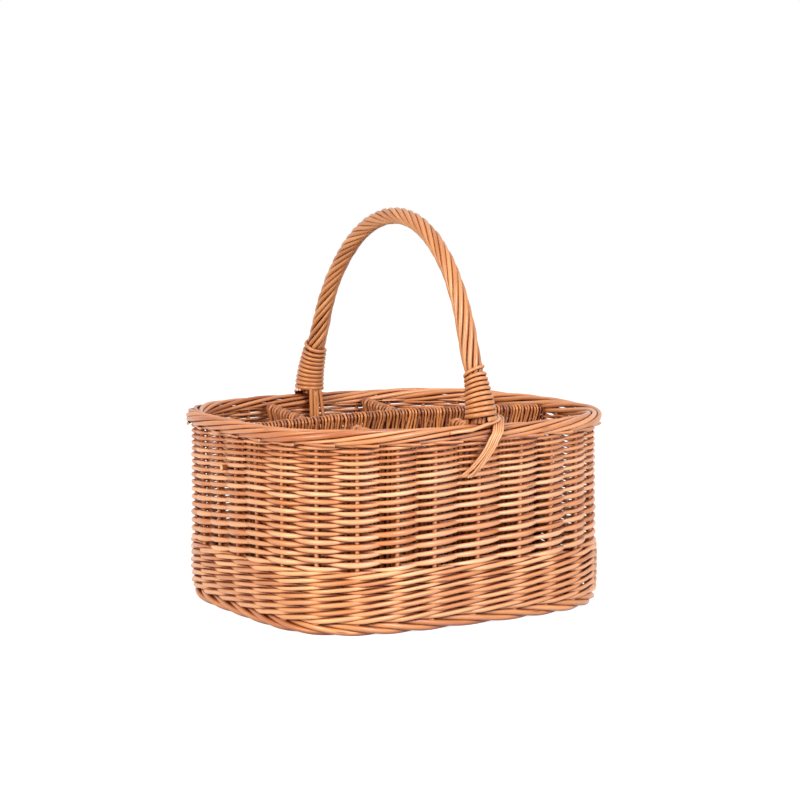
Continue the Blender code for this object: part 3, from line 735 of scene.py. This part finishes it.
divider_gold = willow("divider_willow", (0.20, 0.038, 0.006), (0.66, 0.245, 0.065), 0.48, 0.97)
no_rails = rails_of("no_rails", [[(0.0, 0.0, 0.0), (0.0, 0.0, 0.1)]], False)
crown_height = rim_height - SKEIN_OUTER
shared = {"Steps": 34, "Sides": 8, "Stand": SKEIN_STAND, "Floor": floor_height}
shared.update({"Loose across": 0.0006, "Loose along": 0.0004})
long_end = half_long - SKEIN_RADIUS
skein_count = int((2 * long_end + RIGHT_REACH) / SKEIN_PITCH)
sizes = {"Rods": skein_count, "Crown at start": crown_height, "Crown at end": crown_height}
sizes.update({"Arch": LONG_ARCH, "Start": -long_end, "End": long_end + RIGHT_REACH, "Tucked start": 1.0})
sizes.update({"Turned": 0.0, "Place": 0.0, "Side": 1.0, "Lean": 0.0, **shared})
sizes.update({"Rail start": -1.0, "Low start": 0.0, "Radius": SKEIN_RADIUS})
long_divider = lay_rods("long_divider_skeins", no_rails, sizes, skein_rule, divider_gold)
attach(long_divider, "root")
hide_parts("long_divider_weave")

arched = [
    (long_end * (step / 8 - 1), 0.0, crown_height + LONG_ARCH * (1 - (step / 8 - 1) ** 2))
    for step in range(17)
]
sizes = {"Rods": 1, "Steps": 40, "Sides": 12, "Radius": RAIL_RADIUS}
top_rail = lay_rods("long_top_rail", rails_of("long_line", [arched], False), sizes, rail_rule, divider_gold)
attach(top_rail, "root")
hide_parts("long_divider_top_rail")

through_low, through_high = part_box("long_divider_through_rail")
through_height = (through_low.z + through_high.z) / 2
ends = [(through_low.x, 0.0, through_height), (through_high.x, 0.0, through_height)]
through_rail = lay_rods(
    "through_rail", rails_of("through_line", [ends], False), sizes, rail_rule, divider_gold, seed=8
)
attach(through_rail, "root")
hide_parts("long_divider_through_rail")

cross_start = SKEIN_STAND + SKEIN_RADIUS + CROSS_SKEIN_RADIUS
for node in ("back_left", "back_right", "front_left", "front_right"):
    rail_low, rail_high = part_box(node + "_divider_rail")
    place = (rail_low.x + rail_high.x) / 2
    cross_end = max(abs(rail_low.y), abs(rail_high.y)) - SKEIN_RADIUS
    if node.startswith("back"):
        side, rail_start, low_start = 1.0, 0.0, 0.0
        middle_crown, wall_crown = rail_low.z + RAIL_RADIUS - BACK_RAIL_DIP, rail_high.z - RAIL_RADIUS
    else:
        side, rail_start, low_start = -1.0, FRONT_RAIL_START, LOW_SKEIN_DROP
        middle_crown, wall_crown = FRONT_RAIL_CROWN, rail_low.z + RAIL_RADIUS
    sizes = {"Rods": int((cross_end - cross_start) / CROSS_SKEIN_PITCH), "Arch": 0.0}
    sizes.update({"Crown at start": middle_crown, "Crown at end": wall_crown})
    sizes.update({"Start": cross_start, "End": cross_end, "Tucked start": 0.0})
    sizes.update({"Turned": 1.0, "Place": place, "Side": side, "Lean": 0.0030, **shared})
    sizes.update({"Rail start": rail_start, "Low start": low_start, "Radius": CROSS_SKEIN_RADIUS})
    cross_divider = lay_rods(node + "_divider_skeins", no_rails, sizes, skein_rule, divider_gold)
    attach(cross_divider, "root")
    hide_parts(node + "_divider_weave")
    rail_from = max(cross_start, rail_start - CROSS_SKEIN_PITCH)
    ends = [(place, side * rail_from, middle_crown), (place, side * cross_end, wall_crown)]
    sizes = {"Rods": 1, "Steps": 12, "Sides": 12, "Radius": RAIL_RADIUS}
    rail = lay_rods(node + "_rail", rails_of(node + "_line", [ends], False), sizes, rail_rule, divider_gold)
    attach(rail, "root")
    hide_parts(node + "_divider_rail")


# Handle
# A thick willow bow is pushed down inside the front and back walls, and eight thinner rods are twisted round
# it side by side from one rim to the other. They lie nearly straight low on the front leg and wind faster
# later. The ends of four rods go on down beside the bow at each wall.

BOW_RADIUS = 0.0038
HANDLE_FULLNESS = 2.0
HANDLE_SHIFT = -0.0040
HANDLE_LEAN = 0.0120
ROPING_REACH = 0.0084
LEG_END_POINTS = 8
LEG_FLARE = 0.0120
FLARE_HEIGHT = 0.080
LEG_ROD_COUNT = 4
LEG_ROD_RADIUS = 0.0021
ARCH_POINTS = 240
roping_low, roping_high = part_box("handle_roping")
bow_low, bow_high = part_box("handle_bow")
leg_y = bow_high.y - BOW_RADIUS
spring = roping_low.z
rise = roping_high.z - ROPING_REACH - spring


def arch_line():
    """The bow's centre line from the front rim over the top to the back rim, flared over the borders."""
    points = []
    for step in range(ARCH_POINTS + 1):
        angle = math.pi * step / ARCH_POINTS
        z = spring + rise * abs(math.sin(angle)) ** (2 / HANDLE_FULLNESS)
        low = max(0.0, 1 - (z - spring) / FLARE_HEIGHT)
        y = leg_y * abs(math.cos(angle)) ** (2 / HANDLE_FULLNESS) + LEG_FLARE * low * low * (3 - 2 * low)
        lean = HANDLE_LEAN * math.sin(angle) ** 2
        points.append((HANDLE_SHIFT, -math.copysign(y, math.cos(angle)) - lean, z))
    return points


arch_points = arch_line()
arch_length = sum(math.dist(a, b) for a, b in zip(arch_points, arch_points[1:]))
arch_rail = rails_of("arch_rail", [arch_points], False)


def bow_rule(loom, rod, part):
    """The bow follows its line at an even thickness."""
    place, way = loom.on_rail(0, part)
    return place, loom["Radius"]


def leg_rod_rule(loom, rod, part):
    """Rod ends pushed down side by side inside the wall, splayed a little."""
    across = (rod - (LEG_ROD_COUNT - 1) / 2) * (2 * LEG_ROD_RADIUS)
    wave = vector(rod * 2.7, part * 2, 9.0).noise()
    last = (rod - (LEG_ROD_COUNT - 2)).at_least(0)
    x = across * (part * 0.25 + 0.85) + part * loom["Slant"] + last * part * loom["Last apart"]
    x = x + wave * loom["Loose along"]
    y = loom["Side"] * (loom["Depth"] + wave * loom["Loose across"] + (1 - part) * loom["Top outward"])
    z = part.between(loom["Highest"], loom["Lowest"])
    return vector(x + HANDLE_SHIFT, y, z), loom["Radius"] * (1 + loom.random(-0.12, 0.12, rod, 31))


handle_gold = willow("handle_willow", (0.38, 0.11, 0.025), (0.68, 0.28, 0.10))
bow_points = [(HANDLE_SHIFT, -leg_y, bow_low.z), (HANDLE_SHIFT, -leg_y, rim_high.z)]
bow_points += arch_points[LEG_END_POINTS:-LEG_END_POINTS]
bow_points += [(HANDLE_SHIFT, leg_y, rim_high.z), (HANDLE_SHIFT, leg_y, bow_low.z)]
sizes = {"Rods": 1, "Steps": 160, "Sides": 12, "Radius": BOW_RADIUS}
bow = lay_rods("bow", rails_of("bow_line", [bow_points], False), sizes, bow_rule, handle_gold)
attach(bow, "root")
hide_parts("handle_bow")

for node, side in (("leg_rods_front", -1.0), ("leg_rods_back", 1.0)):
    low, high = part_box(node)
    sizes = {"Rods": LEG_ROD_COUNT, "Steps": 14, "Sides": 10, "Radius": LEG_ROD_RADIUS, "Side": side}
    sizes.update({"Lowest": low.z, "Highest": high.z + 0.006, "Depth": abs(low.y + high.y) / 2})
    sizes.update({"Slant": 0.002, "Last apart": 0.011, "Top outward": 0.004})
    sizes.update({"Loose along": 0.0008, "Loose across": 0.0006})
    leg_rods = lay_rods(node + "_ends", no_rails, sizes, leg_rod_rule, handle_gold, seed=int(9 + side))
    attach(leg_rods, "root")
    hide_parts(node)


def round_arch(loom, way, radius, angle):
    """A place beside the bow, so far along it from the front, at an angle from its outward side."""
    centre, direction = loom.on_rail(0, way / arch_length)
    out = direction.then("CROSS_PRODUCT", (-1.0, 0.0, 0.0)).then("NORMALIZE")
    return centre + out * (angle.cos() * radius) + vector(angle.sin() * radius, 0.0, 0.0)


def roping_rule(loom, rod, part):
    """A rod twisted round the bow, ever faster along the slow way and evenly after it.

    Every other rod starts from the back. They stand off the bow above the bindings and are squeezed in them.
    """
    way = part * arch_length
    slow = way.at_most(loom["Slow way"])
    twist = way * loom["Slow twist"]
    faster = loom["Fast twist"] - loom["Slow twist"]
    twist = twist + faster * (slow * slow / (loom["Slow way"] * 2) + way - slow)
    wobble = vector(way * 12, rod * 3.3, 0.0).noise()
    angle = rod * (2 * math.pi) / loom["Rods"] + twist + wobble * 0.10
    lift = vector(way * 9, rod * 2.1, 4.0).noise() * loom["Loose out"]
    back_first = (rod / 2).floor() * 2 - rod + 1
    taper = back_first.between(1 - part, part)
    radius = loom["Radius"] * (1.08 - taper * 0.16) * (1 + loom.random(-0.14, 0.10, rod, 61))
    from_rim = way.at_most(way * -1 + arch_length)
    splay = from_rim.eased(0.045, 0.062) * (1 - from_rim.eased(0.062, 0.150)) * loom["Splay"]
    squeeze = (1 - from_rim.eased(0.030, 0.055)) * loom["Squeeze"]
    return round_arch(loom, way, lift + loom["Ring"] + splay - squeeze, angle), radius


roping_buff = willow("roping_willow", (0.38, 0.11, 0.026), (0.66, 0.305, 0.125), open_at=0.95)
sizes = {"Rods": 8, "Steps": 420, "Sides": 12, "Radius": 0.00238, "Ring": 0.0061}
sizes.update({"Slow way": 0.26, "Slow twist": 20.0, "Fast twist": 60.0})
sizes.update({"Splay": 0.0014, "Squeeze": 0.0010, "Loose out": 0.0004})
roping = lay_rods("roping", arch_rail, sizes, roping_rule, roping_buff)
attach(roping, "root")
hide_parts("handle_roping")


# Bindings
# One supple willow rod is wound ten times round the foot of each leg, from its butt at the rim to its tip
# above, where the last turn slants loosely. The turns lie tight together and are widest at the rim.

def binding_rule(loom, rod, part):
    """A rod wound round the bow, and round its roping, from the front rim up or from the back rim up."""
    turns = part * loom["Turns"]
    wobble = vector(turns * 1.3, 0.0, loom["Turns"]).noise()
    loose = part.eased(0.93, 1.0)
    up = loom["Lowest"] + turns * loom["Pitch"] + wobble * loom["Loose up"] + loose * loom["Last rise"]
    angle = turns * (2 * math.pi)
    tilt = angle.cos() * loom["Tilt"]
    crease = (angle * 2).cos() * loom["Crease"]
    radius = part.between(loom["Foot ring"], loom["Top ring"]) + wobble * loom["Loose out"] + crease
    way = loom["Front"].between(arch_length - up - tilt, up + tilt)
    return round_arch(loom, way.at_least(0), radius, angle), loom["Radius"] * (1.0 - part * 0.26)


binding_buff = willow("binding_willow", (0.40, 0.12, 0.028), (0.72, 0.31, 0.12), open_at=0.88)
for node, turns, pitch, front, top, tilt in (
    ("binding_front", 10.4, 0.0046, 1.0, 0.0093, 0.0006),
    ("binding_back", 10.2, 0.0051, 0.0, 0.0108, -0.0017),
):
    sizes = {"Rods": 1, "Steps": int(turns * 32), "Sides": 10, "Radius": pitch * 0.52, "Turns": turns}
    sizes.update({"Lowest": 0.0035, "Pitch": pitch, "Tilt": tilt, "Last rise": 0.0045})
    sizes.update({"Foot ring": 0.0138, "Top ring": top, "Crease": 0.0003, "Front": front})
    sizes.update({"Loose up": 0.0007, "Loose out": 0.0004})
    binding = lay_rods(node + "_rod", arch_rail, sizes, binding_rule, binding_buff)
    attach(binding, "root")
    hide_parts(node)


# Lappings
# Below each binding the ends of five willow rods come out over the rim border side by side, sweep down and
# along the outside of the wall, and are tucked into it. A sixth is laid along the border.

LAPPING_ROD_COUNT = 5
LAPPING_RADIUS = 0.00126
LAPPING_SPACING = 0.0034


def lapping_rule(loom, rod, part):
    """Five rods side by side over the border and down the wall, and a sixth along the border."""
    place, way = loom.on_rail((rod - (LAPPING_ROD_COUNT - 1)).at_least(0), part)
    sixth = rod.then("GREATER_THAN", LAPPING_ROD_COUNT - 0.5)
    beside = rod * (1 - sixth)
    crowd = 1 - part.eased(0.0, 0.25) * (1 - part.eased(0.5, 1.0) * 0.7) * 0.25
    wave = vector(rod * 1.9, part * 3, 6.0).noise()
    shift = beside * LAPPING_SPACING * crowd + wave * loom["Loose along"]
    stagger = loom.random(-0.003, 0.003, rod, 51) * part.eased(0.6, 1.0)
    turned = loom["Turned"]
    radius = loom["Radius"] * (1.12 - part * 0.34) * (1 + sixth * 0.5)
    return place + vector(turned * shift, turned * wave * loom["Loose out"], stagger), radius


def smooth_line(points, steps):
    """A curve through the points, with this many steps between each two."""
    points = [Vector(point) for point in points]
    padded = [points[0] * 2 - points[1], *points, points[-1] * 2 - points[-2]]
    line = []
    for a, b, c, d in zip(padded, padded[1:], padded[2:], padded[3:]):
        for step in range(steps):
            t = step / steps
            bend = (a * 2 - b * 5 + c * 4 - d) * (t * t / 2) + (b * 3 - a - c * 3 + d) * (t**3 / 2)
            line.append(b + (c - a) * (t / 2) + bend)
    line.append(points[-1])
    return line


over_rim = [
    (0.008, -0.163, 0.203),
    (0.007, -0.173, 0.2005),
    (0.0005, -0.1838, 0.1915),
    (-0.0058, -0.1862, 0.1835),
    (-0.0100, -0.1860, 0.1760),
    (-0.0170, -0.1842, 0.1660),
    (-0.0262, -0.1822, 0.1560),
    (-0.0325, -0.1795, 0.1505),
]
along_rim = [
    (0.0150, -0.1690, 0.2035),
    (0.0100, -0.1765, 0.2010),
    (-0.0090, -0.1820, 0.1975),
    (-0.0270, -0.1835, 0.1935),
    (-0.0460, -0.1800, 0.1895),
]
lapping_pale = willow("lapping_willow", (0.50, 0.17, 0.05), (0.84, 0.44, 0.22), open_at=0.97)
for node, side in (("lapping_front", 1.0), ("lapping_back", -1.0)):
    lines = [smooth_line(line, 10) for line in (over_rim, along_rim)]
    lines = [[(x * side, y * side, z) for x, y, z in line] for line in lines]
    sizes = {"Rods": LAPPING_ROD_COUNT + 1, "Steps": 44, "Sides": 10, "Radius": LAPPING_RADIUS}
    sizes.update({"Turned": side, "Loose along": 0.0005, "Loose out": 0.0003})
    rails = rails_of(node + "_lines", lines, False)
    lapping = lay_rods(node + "_rods", rails, sizes, lapping_rule, lapping_pale)
    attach(lapping, "root")
    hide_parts(node)


# Camera and studio
# A plain white floor and backdrop, a camera at the photograph's angle, and soft studio light: a key lamp in
# front, a warm fill lamp at the left and a weak one above.

CAMERA_HEADING = math.radians(31.5)
CAMERA_DROP = math.radians(8.795)
CAMERA_DISTANCE = 2.281
AIM_HEIGHT = 0.095
FOCAL_PIXELS = 2206.5
PHOTO_PIXELS = 800
AIM_PIXEL = (392.985, 506.012)
SENSOR = 36.0

aim = Vector((0.0, 0.0, AIM_HEIGHT))
sight = Vector((
    math.sin(CAMERA_HEADING) * math.cos(CAMERA_DROP),
    math.cos(CAMERA_HEADING) * math.cos(CAMERA_DROP),
    -math.sin(CAMERA_DROP),
))
lift_angle = math.atan((AIM_PIXEL[1] - PHOTO_PIXELS / 2) / FOCAL_PIXELS)
right_angle = math.atan((PHOTO_PIXELS / 2 - AIM_PIXEL[0]) / FOCAL_PIXELS) / math.cos(CAMERA_DROP)
facing = Vector((
    math.sin(CAMERA_HEADING + right_angle) * math.cos(CAMERA_DROP - lift_angle),
    math.cos(CAMERA_HEADING + right_angle) * math.cos(CAMERA_DROP - lift_angle),
    -math.sin(CAMERA_DROP - lift_angle),
))
camera_data = bpy.data.cameras.new("camera")
camera_data.lens = FOCAL_PIXELS / PHOTO_PIXELS * SENSOR
camera_data.sensor_width = SENSOR
camera = bpy.data.objects.new("camera", camera_data)
camera.location = aim - sight * CAMERA_DISTANCE
camera.rotation_mode = "QUATERNION"
camera.rotation_quaternion = facing.to_track_quat("-Z", "Y")
bpy.context.scene.collection.objects.link(camera)
bpy.context.scene.camera = camera


def seen_directly(tree):
    """1 where a ray comes from the camera, straight, by a reflection or through glass, and 0 elsewhere."""
    path = tree.nodes.new("ShaderNodeLightPath")
    seen = Flow(tree, path.outputs["Is Camera Ray"])
    for kind in ("Is Glossy Ray", "Is Transmission Ray"):
        seen = seen.at_least(Flow(tree, path.outputs[kind]))
    return seen


def white_floor():
    """A white floor that looks as white as the backdrop, and a little darker in the basket's shadow."""
    material = bpy.data.materials.new("white_floor")
    material.use_nodes = True
    tree = material.node_tree
    tree.nodes.clear()
    matt = wired(tree, "ShaderNodeBsdfDiffuse", {"Color": (0.50, 0.50, 0.50, 1.0)})
    glow = wired(tree, "ShaderNodeEmission", {"Color": (1.0, 1.0, 1.0, 1.0), "Strength": 0.86})
    both = wired(tree, "ShaderNodeAddShader")
    tree.links.new(matt.outputs[0], both.inputs[0])
    tree.links.new(glow.outputs[0], both.inputs[1])
    choice = wired(tree, "ShaderNodeMixShader", {0: seen_directly(tree)})
    tree.links.new(matt.outputs[0], choice.inputs[1])
    tree.links.new(both.outputs[0], choice.inputs[2])
    leave = tree.nodes.new("ShaderNodeOutputMaterial")
    tree.links.new(choice.outputs[0], leave.inputs["Surface"])
    return material


FLOOR_HALF = 6.0
FLOOR_HEIGHT = -0.0002
floor_mesh = bpy.data.meshes.new("studio_floor")
corners = [(x * FLOOR_HALF, y * FLOOR_HALF, FLOOR_HEIGHT) for x, y in ((-1, -1), (1, -1), (1, 1), (-1, 1))]
floor_mesh.from_pydata(corners, [], [(0, 1, 2, 3)])
floor_mesh.materials.append(white_floor())
studio_floor = bpy.data.objects.new("studio_floor", floor_mesh)
bpy.context.scene.collection.objects.link(studio_floor)
studio_floor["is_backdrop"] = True

world = bpy.data.worlds.new("studio")
world.use_nodes = True
bpy.context.scene.world = world
tree = world.node_tree
tree.nodes.clear()
around_light = wired(tree, "ShaderNodeBackground", {"Color": (1.0, 0.96, 0.90, 1.0), "Strength": 0.41})
backdrop = wired(tree, "ShaderNodeBackground", {"Color": (1.0, 1.0, 1.0, 1.0), "Strength": 1.0})
choice = wired(tree, "ShaderNodeMixShader", {0: seen_directly(tree)})
tree.links.new(around_light.outputs[0], choice.inputs[1])
tree.links.new(backdrop.outputs[0], choice.inputs[2])
leave = tree.nodes.new("ShaderNodeOutputWorld")
tree.links.new(choice.outputs[0], leave.inputs["Surface"])


lit_point = Vector((0.0, 0.0, 0.15))


def soft_light(name, place, watts, width, colour):
    """A square studio lamp that faces the middle of the basket."""
    lamp = bpy.data.lights.new(name, "AREA")
    lamp.energy = watts
    lamp.size = width
    lamp.color = colour
    item = bpy.data.objects.new(name, lamp)
    item.location = place
    item.rotation_euler = (lit_point - item.location).to_track_quat("-Z", "Y").to_euler()
    bpy.context.scene.collection.objects.link(item)


soft_light("key_light", (0.2, -2.2, 1.3), 47, 0.8, (1.0, 1.0, 1.0))
soft_light("fill_light", (-2.2, -0.8, 0.9), 46, 0.9, (1.0, 0.90, 0.68))
soft_light("top_light", (-0.2, 0.3, 2.2), 3, 0.9, (1.0, 1.0, 1.0))

bpy.context.scene.view_settings.view_transform = "Standard"

low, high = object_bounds()
